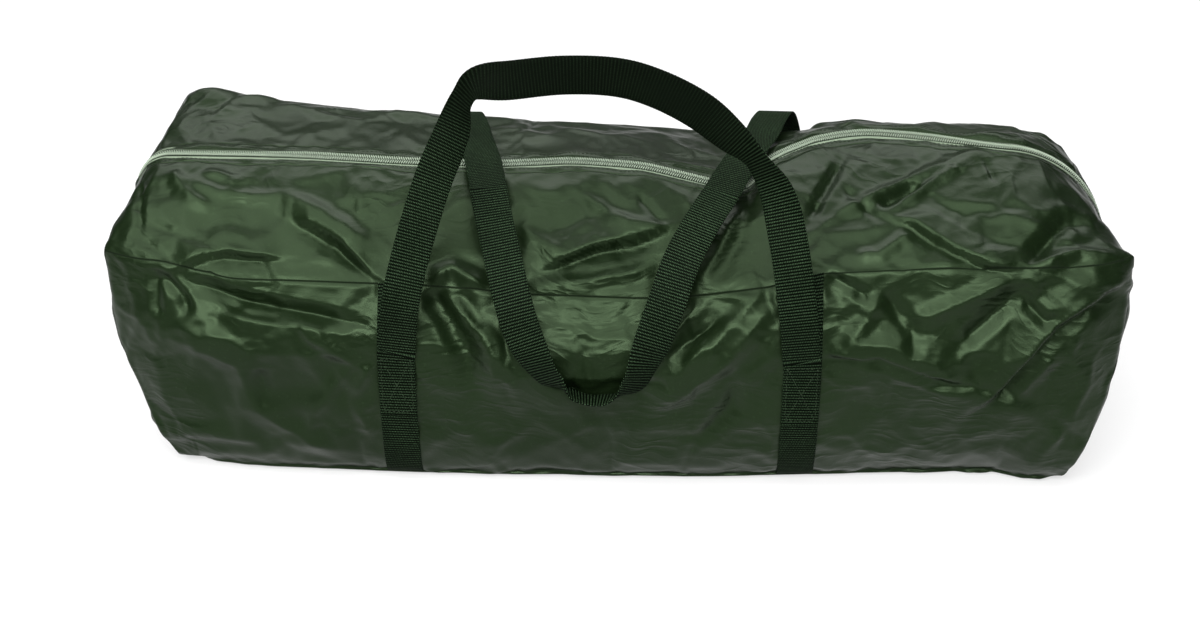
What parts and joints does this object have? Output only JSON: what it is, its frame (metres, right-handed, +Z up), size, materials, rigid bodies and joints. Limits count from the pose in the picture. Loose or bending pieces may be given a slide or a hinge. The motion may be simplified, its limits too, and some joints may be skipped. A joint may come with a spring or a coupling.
{
  "type": "packed tipi tent",
  "caption": "Tipi tent packed in its long carry bag: zipped coated-nylon holdall with two webbing carry handles, tent rolls, pole set and pegs inside.",
  "frame": {"origin": "on the floor, under the centre of the part's bounding box", "axes": "+X along the bag, towards the end with the zip slider; -Y the pictured front; +Z up"},
  "size_m": [0.8208, 0.3434, 0.3653],
  "materials": {
    "nylon": "coated, shiny, crumpled",
    "webbing": "ribbed polyester webbing",
    "zip_tape": "woven tape",
    "zip_coil": "satin nylon coil",
    "zip_metal": "satin",
    "tent_cloth": "matt cotton-polyester",
    "bag_cloth": "matt polyester",
    "pole_metal": "galvanised",
    "foot_rubber": "matt",
    "peg_metal": "galvanised"
  },
  "bodies": {
    "bag": {"base_strap_left": "webbing", "base_strap_right": "webbing", "front_handle_end_left": "webbing", "front_handle_end_right": "webbing", "rear_handle_strand_left": "webbing", "rear_handle_strand_right": "webbing", "lower_panel": "nylon", "front_top_panel": "nylon", "rear_top_panel": "nylon", "left_end_panel": "nylon", "right_end_panel": "nylon", "zip_tape_front": "zip_tape", "zip_tape_rear": "zip_tape", "zip_coil_front": "zip_coil", "zip_coil_rear": "zip_coil", "zip_end_tab_left": "webbing", "zip_end_tab_right": "webbing", "outer_tent_roll": "tent_cloth", "outer_tent_roll_tie_left": "webbing", "outer_tent_roll_tie_right": "webbing", "groundsheet_roll": "tent_cloth", "groundsheet_roll_tie_left": "webbing", "groundsheet_roll_tie_right": "webbing", "pole_sleeve": "bag_cloth", "pole_section_1": "pole_metal", "pole_section_2": "pole_metal", "pole_section_3": "pole_metal", "pole_section_4": "pole_metal", "pole_section_5": "pole_metal", "pole_foot": "foot_rubber", "pole_tip": "pole_metal", "peg_pouch": "bag_cloth", "peg_01": "peg_metal", "peg_02": "peg_metal", "peg_03": "peg_metal", "peg_04": "peg_metal", "peg_05": "peg_metal", "peg_06": "peg_metal", "peg_07": "peg_metal", "peg_08": "peg_metal", "peg_09": "peg_metal", "peg_10": "peg_metal", "peg_11": "peg_metal", "peg_12": "peg_metal"},
    "front_handle": {"front_handle": "webbing"},
    "rear_handle_loop": {"rear_handle_loop": "webbing"},
    "zip_slider": {"zip_slider": "zip_metal"},
    "zip_pull": {"zip_pull": "zip_metal"}
  },
  "joints": [
    {"name": "front_handle_swing", "type": "hinge", "parent": "bag", "child": "front_handle", "pos_m": [0.0006, -0.14247, 0.13028], "axis": [1, 0, 0], "range_deg": [0, 95]},
    {"name": "rear_loop_swing", "type": "hinge", "parent": "bag", "child": "rear_handle_loop", "pos_m": [0.0006, -0.05798, 0.236], "axis": [-1, 0, 0], "range_deg": [0, 65]},
    {"name": "zip_slider_run", "type": "hinge", "parent": "bag", "child": "zip_slider", "pos_m": [0.3126, 0.01902, 0.152], "axis": [0, -1, 0], "range_deg": [0, 90]},
    {"name": "zip_pull_swing", "type": "hinge", "parent": "zip_slider", "child": "zip_pull", "pos_m": [0.40839, 0.01902, 0.12989], "axis": [0, -1, 0], "range_deg": [0, 160]}
  ]
}
